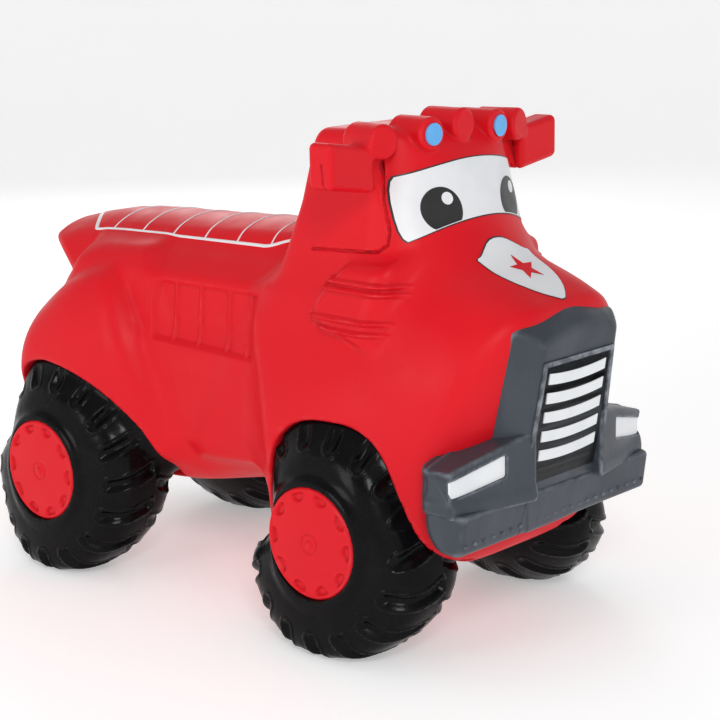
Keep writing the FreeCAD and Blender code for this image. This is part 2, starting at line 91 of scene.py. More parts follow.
TYRE_MIDDLE_X = 98.0
TYRE_HALF_WIDTH = 54.0
TYRE_SPREAD = 24.0          # how far a tyre's foot stands out from its middle
TYRE_RISE = 102             # of a tyre above its axle, before the hull cuts it
OUTER_POWER = 3.2           # of a tyre's section: 2 is an ellipse, more is boxier
INNER_POWER = 2.2
FRONT_REACH = 104.0         # of the front and rear tyres, forwards and backwards of their axles
REAR_REACH = 98.0
TREAD_SLOTS = 17
TREAD_SLOT_DEPTH = 3.6
TREAD_SLANT = 0.0035        # turn of a slot per millimetre across the tyre, in radians
TREAD_START = 82            # distance of a slot's outer end from the axle
HUB_SCALLOPS = 10
SCALLOP_RADIUS = 7.6
SCALLOP_RING = 42.5         # distance of the scallops' centres from the axle

WINDOW_HALF_WIDTH = 78
WINDOW_FOOT_Z = 337
WINDOW_FOOT_RISE = 17       # the window's lower edge is an arch, this high in the middle
PUPIL_X = 43.5
PUPIL_Z = 362
PUPIL_RADIUS = 18
GLINT_RADIUS = 5
BADGE_HALF_WIDTH = 34
STAR_MIDDLE = (3, -244)
STAR_RADIUS = 15
PAINT_LIFT = 0.35           # how far one printed layer stands off what is below it
PRINT_SPACING = 3.0         # mesh size of the printed areas
PIPING_WIDTH = 2.6
PIPING_HALF = 52            # distance of the piping's edge lines from the middle
PIPING_CROSS_Y = (205, 164, 122, 80, 38, -4)

# The camera, solved from the wheels, bumper, grille and lamps in the photograph
CAMERA_PLACE = (-1.18433, -1.14187, 0.57047)
CAMERA_TURN = -47.6963      # degrees: about the upright axis, then down, then about the view
CAMERA_TIP = 12.6115
CAMERA_ROLL = -1.0145
CAMERA_LENS = 92.61         # on a 36 mm sensor


# Distance fields ----------------------------------------------------------------------------------
def smooth_min(a, b, blend):
    """The nearer of two distances, with a fillet where they are alike."""
    near = np.maximum(blend - np.abs(a - b), 0) / blend
    return np.minimum(a, b) - near * near * blend * 0.25


def smooth_max(a, b, blend):
    return -smooth_min(-a, -b, blend)


def ease(value, low, high):
    """0 below low, 1 above high, and a smooth rise between."""
    t = np.clip((value - low) / (high - low), 0, 1)
    return t * t * (3 - 2 * t)


def beyond(p, normal, point):
    """How far p lies outside a plane."""
    unit = np.array(normal, float) / np.linalg.norm(normal)
    return sum((p[i] - point[i]) * float(unit[i]) for i in range(3))


def block(p, walls):
    """A convex block inside (normal, point, blend) walls.

    A wall's blend rounds its edges with the walls before it; the first wall's isn't used.
    """
    normal, point, _ = walls[0]
    result = beyond(p, normal, point)
    for normal, point, blend in walls[1:]:
        result = smooth_max(result, beyond(p, normal, point), blend)
    return result


def rounded_box(p, centre, half, radius):
    q = [np.abs(p[i] - centre[i]) - (half[i] - radius) for i in range(3)]
    outside = np.sqrt(sum(np.maximum(a, 0) ** 2 for a in q))
    return outside + np.minimum(np.maximum(q[0], np.maximum(q[1], q[2])), 0) - radius


def rounded_rod(p, start, direction, length, radius, edge):
    """A cylinder from start along a unit direction, with rounded rims."""
    d = [p[i] - start[i] for i in range(3)]
    along = sum(d[i] * direction[i] for i in range(3))
    across = np.sqrt(np.maximum(sum(a * a for a in d) - along * along, 0))
    q_across = across - (radius - edge)
    q_along = np.abs(along - length / 2) - (length / 2 - edge)
    outside = np.sqrt(np.maximum(q_across, 0) ** 2 + np.maximum(q_along, 0) ** 2)
    return outside + np.minimum(np.maximum(q_across, q_along), 0) - edge


def stroke(a, b, start, end):
    """Distance in a plane from (a, b) to a straight line from start to end."""
    run = (end[0] - start[0], end[1] - start[1])
    t = ((a - start[0]) * run[0] + (b - start[1]) * run[1]) / (run[0] ** 2 + run[1] ** 2)
    t = np.clip(t, 0, 1)
    return np.hypot(a - start[0] - t * run[0], b - start[1] - t * run[1])


def polyline(a, b, points):
    return np.minimum.reduce([stroke(a, b, s, e) for s, e in zip(points, points[1:])])


def ridge(distance, width):
    """A rounded ridge profile, 1 on the line and 0 beyond its half width."""
    return 1 - ease(distance, 0, width / 2)


# Hull zones ---------------------------------------------------------------------------------------
def nose(p):
    """Bonnet, chin and front fenders."""
    return block(p, [
        ((1, 0, 0), (141, 0, 0), 0),
        ((0.89, 0, 0.455), (125, 0, 226), 24),
        ((0, -0.48, 1), (0, -197, 335), 60),
        ((0, 0.35, 1), (0, -190, 332), 20),
        ((0, -1, -0.25), (0, -280, 230), 14),
        ((0.9, -0.5, 0), (138, -205, 0), 50),
        ((0.70, 0.71, -0.08), (140, -82, 160), 8),
        ((0, 1, -0.10), (0, -46, 170), 8),
        ((0, -0.5, -1), (0, -250, 74), 14),
        ((0.3, 0, -1), (90, 0, 76), 16),
        ((0, 0, -1), (0, 0, 69), 20),
    ])


def cab(p):
    """The cab, its front a leaning arch that carries the windscreen."""
    x, y, z = p
    front = (-204 + 0.0042 * x * x + 0.25 * (z - 363) - y) * 0.95
    sides = smooth_max(beyond(p, (1, 0, 0.15), (84, 0, 362)), front, 26)
    brow = smooth_max(sides, beyond(p, (0, -0.75, 0.66), (0, -183, 413)), 8)
    roof = smooth_max(brow, beyond(p, (0, 0.04, 1), (0, -90, 425)), 12)
    back = smooth_max(roof, beyond(p, (0, 1, 0.17), (0, -82, 411)), 10)
    return smooth_max(smooth_max(back, x - 98, 14), 130 - z, 10)


def cab_foot(p):
    """The flare behind the cab, down to the saddle."""
    return block(p, [
        ((1, 0, 0.25), (86, 0, 320), 0),
        ((0, 1, 0.50), (0, -69, 350), 18),
        ((0, 0, 1), (0, 0, 372), 40),
        ((1, 0, 0), (98, 0, 0), 14),
        ((0, -1, 0), (0, -150, 0), 10),
        ((0, 0, -1), (0, 0, 130), 10),
    ])


def saddle(p):
    """The saddle, crowned across and falling to an overhanging tail."""
    x, y, z = p
    crown = np.interp(y, SADDLE_Y, SADDLE_Z).astype(np.float32) - 0.0052 * x * x
    top = (z - crown) * 0.95
    side = smooth_max(top, beyond(p, (1, 0, 0.62), (62, 0, 299)), 7)
    back = smooth_max(side, beyond(p, (0.06, 1, -0.25), (0, 293, 303)), 4)
    tail = smooth_max(back, beyond(p, (0.8, 0.6, -0.5), (53, 291, 303)), 6)
    front = smooth_max(tail, -110 - y, 10)
    return smooth_max(front, 255 - z, 10)


def rear_fender(p):
    """The rear fender with a raised step on its top."""
    fender = block(p, [
        ((1, 0, 0), (138, 0, 0), 0),
        ((0.80, 0, 0.60), (121, 0, 262), 28),
        ((0.10, 0.12, 1), (80, 180, 287), 12),
        ((0.15, 0.72, 0.69), (110, 242, 242), 30),
        ((0.15, 1, -0.05), (110, 270, 190), 40),
        ((0.10, -0.85, 0.50), (105, 126, 258), 18),
        ((0.86, -0.50, 0), (127, 106, 0), 44),
        ((0, 0, -1), (0, 0, 112), 30),
    ])
    step = block(p, [
        ((0.90, 0, 0.50), (86, 0, 297), 0),
        ((1, 0, 0), (97, 0, 0), 8),
        ((0.10, 0.06, 1), (60, 170, 305), 10),
        ((0, -1, 0.6), (0, 104, 285), 12),
        ((0.1, 0.8, 0.6), (80, 219, 285), 20),
        ((0, 0, -1), (0, 0, 200), 10),
    ])
    return smooth_min(fender, step, 5)


def waist(p):
    """Belly, lower side panel and the shutter panel above it."""
    belly = block(p, [
        ((1, 0, 0), (92, 0, 0), 0),
        ((0.30, -0.33, -1), (80, 84, 90), 40),
        ((0, 0, -1), (0, 0, 84), 20),
        ((0, 0, 1), (0, 0, 230), 20),
        ((0, 1, 0), (0, 210, 0), 20),
        ((0, -1, 0), (0, -110, 0), 20),
    ])
    lower = block(p, [
        ((1, 0, 0), (100, 0, 0), 0),
        ((0.45, 0, 1), (99, 0, 226), 8),
        ((0.25, -0.18, -1), (101, 55, 141), 8),
        ((0, 1, 0), (0, 210, 0), 10),
        ((0, -1, 0), (0, -110, 0), 10),
    ])
    upper = block(p, [
        ((1, 0, 0.10), (95, 0, 250), 0),
        ((0.60, 0, 0.80), (93, 0, 285), 6),
        ((0, 0, 1), (0, 0, 306), 8),
        ((0, 1, 0), (0, 210, 0), 10),
        ((0, -1, 0), (0, -110, 0), 10),
        ((0, 0, -1), (0, 0, 212), 10),
    ])
    return smooth_min(smooth_min(lower, upper, 8), belly, 24)


def handle(p):
    """A flat grip that rises towards its tip."""
    x, y, z = p
    level = z - (395.5 + 0.145 * (x - 85))
    grip = rounded_box((x, y, level), (121, -158, 0), (26, 12.5, 18.5), 5.5)
    neck = rounded_box((x, y, level), (86, -151, 0), (18, 8.5, 14.5), 4)
    return smooth_min(grip, neck, 4)


def lamp_pods(p):
    """The roof lamps: one in the middle and two to the side, fanned out a little."""
    pods = []
    for x, y, z, fan in LAMP_PLACES:
        direction = (-math.sin(math.radians(fan)), math.cos(math.radians(fan)), 0)
        pods.append(rounded_rod(p, (x, y, z), direction, LAMP_LENGTH, LAMP_RADIUS, 3.5))
    return np.minimum.reduce(pods)


def side_stack(p):
    """The intake stack beside the bonnet, with two pairs of ribs round it."""
    stack = block(p, [
        ((1, 0, 0.25), (110, 0, 295), 0),
        ((0.6, -0.8, 0), (107, -182, 0), 12),
        ((0, 0.74, 0.67), (0, -130, 309), 9),
        ((0, 1, 0), (0, -113, 0), 9),
        ((0.3, 0, 1), (102, 0, 320), 8),
        ((0, -1, 0), (0, -193, 0), 12),
        ((0, 0.3, -1), (0, -150, 262), 9),
    ])
    for rib_z in STACK_RIB_Z:
        stack = stack - 2.6 * ridge(np.abs(p[2] - rib_z - 0.02 * (p[1] + 160)), 6)
    return stack


def step_block(p):
    return rounded_box(p, (88, -58, 283), (9, 15, 8), 4)


def front_arch(p):
    """The opening of the front wheel arch, right through the side."""
    return block(p, [
        ((0, 1, 0), (0, -86, 0), 0),
        ((0, 0, 1), (0, 0, 195), 56),
        ((0, -0.916, 0.40), (0, -199, 175), 34),
    ])


def rear_arch(p):
    return block(p, [
        ((0, -0.67, 0.74), (0, 117, 161), 0),
        ((0, 0, 1), (0, 0, 199), 44),
        ((0, 1, 0), (0, 262, 0), 60),
        ((0, -1, 0), (0, 88, 0), 20),
    ])


def shutter_relief(p):
    """The sunk shutter panel with its upright ribs: how far the skin is pushed in."""
    x, y, z = p
    low_edge = 226 + 0.03 * y
    panel = smooth_max(smooth_max(y - 97, -38 - y, 6), smooth_max(z - 281, low_edge - z, 6), 6)
    sunk = 3.2 * ease(-panel, -2, 4)
    for rib_y in SHUTTER_RIB_Y:
        sunk = sunk - 2.2 * ridge(np.abs(y - rib_y - 0.05 * (z - 250)), 7) * ease(-panel, 0, 5)
    return sunk * ease(x, 70, 82)


def door_line(p):
    """The groove that outlines the door: how deep it is."""
    x, y, z = p
    return 2.0 * ridge(polyline(y, z, DOOR_LINE), 3.8) * ease(x, 50, 60)


def bare_hull(p):
    """The whole red moulding before the wheel arches are opened."""
    body = smooth_min(nose(p), cab(p), 26)
    body = smooth_min(body, cab_foot(p), 14)
    body = smooth_min(body, waist(p), 16)
    body = smooth_min(body, saddle(p), 12)
    body = smooth_min(body, rear_fender(p), 12)
    body = smooth_min(body, side_stack(p), 7)
    body = smooth_min(body, step_block(p), 4)
    body = smooth_min(body, lamp_pods(p), 3.5)
    body = smooth_min(body, handle(p), 7)
    return body + shutter_relief(p) + door_line(p)


def arches(p):
    """Both wheel openings, as far in as the tyres need."""
    side = 60 - p[0]
    return smooth_max(np.minimum(front_arch(p), rear_arch(p)), side, 4)


def valve_pocket(p):
    """A pocket that the valve boss fills."""
    return rounded_rod(p, (0, VALVE_FACE_Y - 25, VALVE_Z), (0, 1, 0), 60, VALVE_POCKET_RADIUS, 1)


def hull(p):
    mirrored = (np.abs(p[0]), p[1], p[2])
    body = smooth_max(bare_hull(mirrored), -arches(mirrored), 4)
    return smooth_max(body, -valve_pocket(mirrored), 0.5)


# Wheels -------------------------------------------------------------------------------------------
def tyre_middle(z):
    """Middle of a tyre's width: the tyres stand out at the foot."""
    below = np.maximum(AXLE_Z - z, 0) / AXLE_Z
    return TYRE_MIDDLE_X + TYRE_SPREAD * below * below


def balloon(p, axle_y, reach):
    """A fat tyre body that stands flat on the floor."""
    x, y, z = p
    around = np.hypot((y - axle_y) / reach, (z - AXLE_Z) / TYRE_RISE)
    across = np.abs(x - tyre_middle(z)) / TYRE_HALF_WIDTH
    power = np.where(x > tyre_middle(z), OUTER_POWER, INNER_POWER)
    level = np.maximum(around ** power + across ** power, 1e-6) ** (1 / power)
    sizes = ((around, TYRE_RISE), (across, TYRE_HALF_WIDTH))
    slopes = [(share / level) ** (power - 1) / size for share, size in sizes]
    body = (level - 1) / np.hypot(*slopes)
    from_hub = np.hypot(y - axle_y, z - AXLE_Z) - HUB_RADIUS
    collar = smooth_max(smooth_max(from_hub - 2, x - HUB_NUB_X + 5, 5), 120 - x, 5)
    seat = smooth_max(from_hub + 1, HUB_NUB_X - 9 - x, 1)
    body = smooth_max(smooth_min(body, collar, 12), -seat, 1)
    return smooth_max(body, -z, 9)


def tread_relief(p, axle_y):
    """Round-ended slots that start on the sidewall and run across the tread."""
    x, y, z = p
    radius = np.hypot(y - axle_y, z - AXLE_Z)
    turn = np.arctan2(y - axle_y, z - AXLE_Z)
    pitch = 2 * math.pi / TREAD_SLOTS
    middle_x = tyre_middle(z)
    inner_half = x < middle_x
    turn = turn + TREAD_SLANT * np.abs(x - middle_x) + np.where(inner_half, pitch / 2, 0)
    offset = (turn / pitch - np.round(turn / pitch)) * pitch * radius
    short = np.maximum(TREAD_START - radius, 0)
    crossing = np.maximum(6 - np.abs(x - middle_x), 0)
    edge = np.sqrt(offset ** 2 + short ** 2 + crossing ** 2)
    slot = TREAD_SLOT_DEPTH * (1 - ease(edge, 1.5, 6.3))
    rim = 0.8 * ridge(np.abs(edge - 7.5), 5.0) * ease(radius, 70, 76)
    return slot - rim


def tyre(p, axle_y, reach):
    """A tyre and the black wheel well round it, which follows the hull a little inside."""
    if axle_y < 0:
        arch = front_arch(p)
        below_fender = beyond(p, (0, 0.02, -1), (0, -60, 80))
    else:
        arch = rear_arch(p)
        below_fender = beyond(p, (0, -0.14, -1), (0, 88, 138))
    fender = smooth_max(-arch, below_fender, 40)
    body = smooth_max(balloon(p, axle_y, reach), -fender, 30)
    body = body + tread_relief(p, axle_y)
    well = smooth_max(smooth_max(bare_hull(p) + 6, arch + 0.6, 4), 64 - p[0], 4)
    return smooth_min(body, well, 12)


def hub_cap(p, axle_y):
    """A shallow dome with a bead, a ring of scooped pockets and a small nub."""
    x, y, z = p
    face_x = HUB_NUB_X - 2.6
    radius = np.hypot(y - axle_y, z - AXLE_Z)
    turn = np.arctan2(z - AXLE_Z, y - axle_y)
    dome = x - (face_x + 1.0 - 1.0 * (radius / HUB_RADIUS) ** 2)
    disc = smooth_max(smooth_max(dome, radius - HUB_RADIUS, 5), 140 - x, 2)
    disc = disc - 0.5 * ridge(np.abs(radius - HUB_RADIUS + 3), 4)
    pitch = 2 * math.pi / HUB_SCALLOPS
    offset = (turn / pitch - np.round(turn / pitch)) * pitch
    across = np.hypot(radius * np.cos(offset) - SCALLOP_RING, radius * np.sin(offset))
    scoop = smooth_max(across - SCALLOP_RADIUS, radius - 43.5, 2)
    disc = disc + 2.6 * ease(-scoop, -0.5, 2.2) * ease(x, 146, 150)
    nub = np.sqrt(radius ** 2 + (x - face_x) ** 2) - 3.4
    seat = 0.7 * ridge(np.abs(radius - 8), 3)
    return smooth_min(disc + seat, nub, 1.5)


# Front end ----------------------------------------------------------------------------------------
def grille_surround(p):
    """The grey radiator shell, its top sloping back and down to the sides."""
    x, y, z = p
    body = block((np.abs(x), y, z), [
        ((0, -1, -0.158), (0, -303.7, 267), 0),
        ((1, -0.9, -0.109), (50, -303.7, 267), 4),
        ((1, 0, 0), (70, 0, 0), 6),
        ((0, 1, 0.25), (0, -284, 281), 4),
        ((0, 0, -1), (0, 0, 138), 4),
    ])
    top = block((np.hypot(x, 22), y, z), [
        ((0.20, -0.7, 0.7), (52, -303, 268), 0),
        ((0.24, -0.25, 1), (0, -288, 293), 5),
    ])
    return smooth_max(body, top, 5)


def headlight_housing(p):
    """A box with a recess for the lens and a waist above the ledge it stands on."""
    body = block(p, [
        ((1, -0.12, 0), (133, -265, 0), 0),
        ((0.75, 0.66, 0), (133, -249, 0), 3),
        ((0.23, -1, 0), (75, -286, 0), 3),
        ((0.25, 0, 1), (75, 0, 188), 3.5),
        ((0, 1, 0), (0, -240, 0), 4),
        ((0, 0, -1), (0, 0, 138), 4),
        ((-1, 0, 0), (44, 0, 0), 4),
    ])
    notch = rounded_rod(p, (140, -300, 161), (0, 1, 0), 90, 12, 1)
    body = smooth_max(body, -notch, 5)
    lens = block(p, [
        ((-1, 0, 0), (75, 0, 0), 0),
        ((1, 0, 0), (128, 0, 0), 2),
        ((13 / 53, 0, 1), (75, 0, 180), 2),
        ((-10 / 53, 0, -1), (75, 0, 162), 2),
    ])
    lens_face = beyond(p, (0.23, -1, 0), (75.0, -281.6, 0))
    opening = smooth_max(lens, -lens_face, 0.8)
    body = smooth_max(body, -opening, 1.0)
    ledge = block(p, [
        ((0.20, -1, 0), (75, -287, 0), 0),
        ((0.15, -0.75, 0.66), (75, -287, 147), 3),
        ((1, 0, 0), (130, 0, 0), 3),
        ((0, 1, 0), (0, -250, 0), 3),
        ((0, 0, -1), (0, 0, 136), 3),
        ((-1, 0, 0), (44, 0, 0), 3),
    ])
    return smooth_min(body, ledge, 3)


def bumper(p):
    """The bumper bar; a crease and a slight step mark the joint on its right-hand side."""
    x, y, z = p
    bar = block((np.abs(x), y, z), [
        ((0, -1, -0.15), (0, -285, 140), 0),
        ((0.98, -0.20, 0), (127, -285, 0), 5),
        ((0.60, 0.80, 0), (132, -250, 0), 8),
        ((0.45, 0.55, -0.7), (131, -256, 111), 12),
        ((0, -0.06, 1), (0, -285, 140), 4.5),
        ((0, 0, -1), (0, 0, 106), 5),
        ((0, 1, 0), (0, -238, 0), 4),
    ])
    crease = 0.6 * ridge(stroke(x, z, (-46, 143), (-54, 104)), 3)
    step = 0.9 * ease(x + 0.2 * (z - 140), -49.5, -46.5) * ease(-x, -60, 30)
    return bar - step + crease


# From distance fields to meshes -------------------------------------------------------------------
def sampled(shape, low, high, step):
    """Distances on a grid: exact near the surface, and further off just roughly right."""
    axes = [np.arange(a, b + step, step, dtype=np.float32) for a, b in zip(low, high)]
    rough_axes = [axis[::4] for axis in axes]
    rough = shape(tuple(np.meshgrid(*rough_axes, indexing="ij")))
    nearest = [
        np.minimum((np.arange(len(fine)) + 2) // 4, len(coarse) - 1)
        for fine, coarse in zip(axes, rough_axes)
    ]
    values = rough[np.ix_(*nearest)].astype(np.float32)
    close = np.nonzero(np.abs(values) < 4.5 * step)
    values[close] = shape(tuple(a[i] for a, i in zip(axes, close)))
    return values


def surface_net(values):
    """Points, in grid units, and quads of a sampled field's zero surface.

    Each grid cell that the surface crosses gets a point, at the mean of the places where the
    surface crosses the cell's edges. Each crossed grid edge gets a quad between the points of the
    four cells round it.
    """
    size = np.array(values.shape)
    inside = values < 0
    corners = [np.array(c) for c in np.ndindex(2, 2, 2)]
    filled = np.zeros(size - 1, np.int8)
    for c in corners:
        filled += inside[tuple(slice(a, a + n - 1) for a, n in zip(c, size))]
    mixed = (filled > 0) & (filled < 8)
    cells = np.argwhere(mixed)
    number = np.full(mixed.shape, -1, np.int64)
    number[mixed] = np.arange(len(cells))
    total = np.zeros((len(cells), 3))
    hits = np.zeros((len(cells), 1))
    quads = []
    unit = np.eye(3, dtype=int)
    for axis in range(3):
        for c in (c for c in corners if c[axis] == 0):
            start = cells + c
            a = values[tuple(start.T)]
            b = values[tuple((start + unit[axis]).T)]
            crossed = (a < 0) != (b < 0)
            share = (a / np.where(crossed, a - b, 1))[:, None]
            total += np.where(crossed[:, None], start + share * unit[axis], 0)
            hits += crossed[:, None]
        u, v = unit[(axis + 1) % 3], unit[(axis + 2) % 3]
        begin = u + v
        first = inside[tuple(slice(b, n - 1) for b, n in zip(begin, size))]
        second = inside[tuple(slice(b + s, n - 1 + s) for b, n, s in zip(begin, size, unit[axis]))]
        for order, changed in ((1, first & ~second), (-1, second & ~first)):
            edge = np.argwhere(changed) + begin
            ring = [edge - u - v, edge - v, edge, edge - u][::order]
            quads.append(np.stack([number[tuple(c.T)] for c in ring], 1))
    return total / hits, np.concatenate(quads)


def outward(shape, points):
    """Unit vectors that point straight out of a distance field."""
    reach = 0.35
    slopes = []
    for axis in range(3):
        shift = np.zeros(3)
        shift[axis] = reach
        slopes.append(shape(tuple((points + shift).T)) - shape(tuple((points - shift).T)))
    slopes = np.stack(slopes, 1)
    return slopes / np.maximum(np.linalg.norm(slopes, axis=1, keepdims=True), 1e-9)


def settled(shape, points, step):
    """Points moved onto the surface, and the directions out of it."""
    for _ in range(3):
        off = np.clip(shape(tuple(points.T)), -step / 2, step / 2)
        points = points - outward(shape, points) * off[:, None]
    return points, outward(shape, points)


def new_mesh(name, points, faces):
    mesh = bpy.data.meshes.new(name)
    mesh.from_pydata((points * MM).tolist(), [], faces)
    return mesh


def mesh_points(mesh):
    flat = np.zeros(len(mesh.vertices) * 3)
    mesh.vertices.foreach_get("co", flat)
    return flat.reshape(-1, 3) / MM


def refine(mesh, zones):
    """Split the faces whose middle lies in a (low, high) zone into smaller ones."""
    bm = bmesh.new()
    bm.from_mesh(mesh)
    edges = set()
    for face in bm.faces:
        x, y, z = face.calc_center_median() / MM
        for low, high in zones:
            if low[0] < abs(x) < high[0] and low[1] < y < high[1] and low[2] < z < high[2]:
                edges.update(face.edges)
                break
    bmesh.ops.subdivide_edges(bm, edges=list(edges), cuts=1, use_grid_fill=True)
    bm.to_mesh(mesh)
    bm.free()


def skin_mesh(name, shape, low, high, step, both_sides=False, zones=()):
    """The mesh of a distance field between two corners.

    With both_sides, low starts at the middle plane and the grid is mirrored to the other side.
    """
    values = sampled(shape, low, high, step)
    origin = np.array(low, float)
    if both_sides:
        values = np.concatenate([values[:0:-1], values])
        origin[0] = -origin[0] - (values.shape[0] - 1) / 2 * step
    grid_points, quads = surface_net(values)
    mesh = new_mesh(name, grid_points * step + origin, quads.tolist())
    if zones:
        refine(mesh, zones)
    points, normals = settled(shape, mesh_points(mesh), step)
    mesh.vertices.foreach_set("co", (points * MM).ravel())
    smooth_with(mesh, normals)
    return mesh


def smooth_with(mesh, normals):
    """Shade a mesh smoothly with a given normal at each vertex."""
    mesh.polygons.foreach_set("use_smooth", [True] * len(mesh.polygons))
    mesh.update()
    mesh.normals_split_custom_set_from_vertices(normals.tolist())


def mirrored_mesh(mesh, name):
    """The same mesh on the other side of the truck."""
    normals = np.zeros(len(mesh.loops) * 3)
    mesh.corner_normals.foreach_get("vector", normals)
    corner_vertices = np.zeros(len(mesh.loops), int)
    mesh.loops.foreach_get("vertex_index", corner_vertices)
    by_vertex = np.zeros((len(mesh.vertices), 3))
    by_vertex[corner_vertices] = normals.reshape(-1, 3)
    flip = np.array([-1, 1, 1])
    faces = [list(reversed(face.vertices)) for face in mesh.polygons]
    copy = new_mesh(name, mesh_points(mesh) * flip, faces)
    smooth_with(copy, by_vertex * flip)
    return copy


def add_piece(name, mesh, material, body="truck", replaces=()):
    """Show a mesh as a piece of the truck."""
    piece = bpy.data.objects.new(name, mesh)
    bpy.context.scene.collection.objects.link(piece)
    mesh.materials.append(material)
    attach(piece, body)
    if replaces:
        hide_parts(*replaces)


# Printed areas ------------------------------------------------------------------------------------
def cast(shape, starts, direction):
    """Where straight lines from the start points first meet the surface."""
    steps, caution = 90, 0.8
    points = starts.astype(float)
    for _ in range(steps):
        points = points + np.array(direction) * (shape(tuple(points.T)) * caution)[:, None]
    return points


def filled_outline(outline):
    """Points and triangles that fill a closed outline, finely enough to follow a curved skin."""
    outline = np.array(outline, float)
    corners = zip(outline.min(0), outline.max(0))
    axes = [np.arange(low + PRINT_SPACING / 2, high, PRINT_SPACING) for low, high in corners]
    grid = np.stack(np.meshgrid(*axes), -1)
    inner = [Vector(g) for g in grid.reshape(-1, 2)]
    border = [Vector(o) for o in outline]
    face = [list(range(len(border)))]
    points, _, triangles, *_ = delaunay_2d_cdt(border + inner, [], face, 1, 1e-5)
    return np.array([tuple(p) for p in points]), triangles


def skirted(mesh, shape, depth):
    """Run the rim of a printed area straight down into the skin, so that it has no open edge."""
    bm = bmesh.new()
    bm.from_mesh(mesh)
    rim = [e for e in bm.edges if len(e.link_faces) == 1]
    for vertex in [v for v in bm.verts if not v.link_edges]:
        bm.verts.remove(vertex)
    made = bmesh.ops.extrude_edge_only(bm, edges=rim)["geom"]
    for vertex in (g for g in made if isinstance(g, bmesh.types.BMVert)):
        at = np.array([vertex.co]) / MM
        vertex.co = Vector((at - outward(shape, at) * depth)[0] * MM)
    bmesh.ops.recalc_face_normals(bm, faces=bm.faces)
    bm.to_mesh(mesh)
    bm.free()


def printed(name, outline, shape, onto, lift):
    """A thin printed area. onto places an outline point in space and says which way it is cast."""
    flat, triangles = filled_outline(outline)
    place, direction = onto
    points = cast(shape, place(flat), direction)
    mesh = new_mesh(name, points + outward(shape, points) * lift, triangles)
    skirted(mesh, shape, lift + 0.5)
    normals = outward(shape, mesh_points(mesh))
    face = mesh.polygons[0]
    if (np.array(face.normal) * normals[face.vertices[0]]).sum() < 0:
        mesh.flip_normals()
    smooth_with(mesh, normals)
    return mesh


def from_front(flat):
    return np.column_stack([flat[:, 0], np.full(len(flat), -330.0), flat[:, 1]])


def from_above(flat):
    return np.column_stack([flat[:, 0], flat[:, 1], np.full(len(flat), 460.0)])


FRONT = (from_front, (0, 1, 0))
ABOVE = (from_above, (0, 0, -1))


def arc_through(start, middle_height, end, count):
    """Points of a shallow arch from start to end, higher by middle_height in the middle."""
    t = np.linspace(0, 1, count)
    line = np.outer(1 - t, start) + np.outer(t, end)
    line[:, 1] += 4 * t * (1 - t) * middle_height
    return line


def softened(outline, rounds=2):
    """Corner cutting, which rounds an outline's corners a little."""
    points = np.array(outline, float)
    for _ in range(rounds):
        following = np.roll(points, -1, axis=0)
        points = np.stack([points * 0.75 + following * 0.25, points * 0.25 + following * 0.75], 1)
        points = points.reshape(-1, 2)
    return points


def windscreen_outline(grow):
    """The window: arched above and below, its corners rounded."""
    top = arc_through((-76 - grow, 388 + grow), 12, (76 + grow, 388 + grow), 16)
    right, foot = WINDOW_HALF_WIDTH + grow, WINDOW_FOOT_Z - grow
    bottom = arc_through((right, foot), WINDOW_FOOT_RISE, (-right, foot), 16)
    return softened(np.concatenate([top, bottom]))


def pupil_outline(side):
    """A round pupil whose foot is cut by the window's lower edge."""
    turn = np.linspace(0, 2 * math.pi, 48, endpoint=False)
    x = side * PUPIL_X + PUPIL_RADIUS * np.sin(turn)
    z = PUPIL_Z + PUPIL_RADIUS * np.cos(turn)
    edge = WINDOW_FOOT_Z + WINDOW_FOOT_RISE * (1 - (x / WINDOW_HALF_WIDTH) ** 2)
    return np.column_stack([x, np.maximum(z, edge + 0.6)])


def circle_outline(x, z, radius):
    turn = np.linspace(0, 2 * math.pi, 32, endpoint=False)
    return np.column_stack([x + radius * np.sin(turn), z + radius * np.cos(turn)])


def badge_outline(grow):
    """A shield seen from above, its tip to the front."""
    half = [(0, -286), (9, -280), (19, -270), (27, -257), (31.5, -243), (32.5, -228), (34, -223.5)]
    half += [(28, -223.5), (21, -220.5), (11, -216.5)]
    outline = np.array(half + [(0, -215.5)] + [(-x, y) for x, y in reversed(half[1:])], float)
    middle = np.array([0, -250])
    return softened(middle + (outline - middle) * (1 + grow / BADGE_HALF_WIDTH), 1)


def star_outline():
    """A five-pointed star."""
    x, y = STAR_MIDDLE
    points = []
    for i in range(10):
        reach = STAR_RADIUS if i % 2 == 0 else STAR_RADIUS * 0.42
        turn = math.pi * i / 5
        points.append((x + reach * math.sin(turn), y + reach * math.cos(turn)))
    return np.array(points)


def bead(shape, path, width, height):
    """A low rounded line along a path seen from above, on top of the skin."""
    path = np.array(path, float)
    ahead = np.gradient(path, axis=0)
    ahead /= np.linalg.norm(ahead, axis=1, keepdims=True)
    across = np.column_stack([-ahead[:, 1], ahead[:, 0]])
    rows = []
    for share, lift in ((-1, -0.5), (-0.75, 0.55), (0, 1), (0.75, 0.55), (1, -0.5)):
        points = cast(shape, from_above(path + across * share * width / 2), (0, 0, -1))
        rows.append(points + outward(shape, points) * lift * height)
    count = len(path)
    faces = []
    for row in range(4):
        for i in range(count - 1):
            a = row * count + i
            faces.append([a, a + count, a + count + 1, a + 1])
    return np.concatenate(rows), faces


def joined(parts):
    """Several (points, faces) parts as one."""
    points, faces, base = [], [], 0
    for part_points, part_faces in parts:
        points.append(part_points)
        faces += [[base + i for i in face] for face in part_faces]
        base += len(part_points)
    return np.concatenate(points), faces


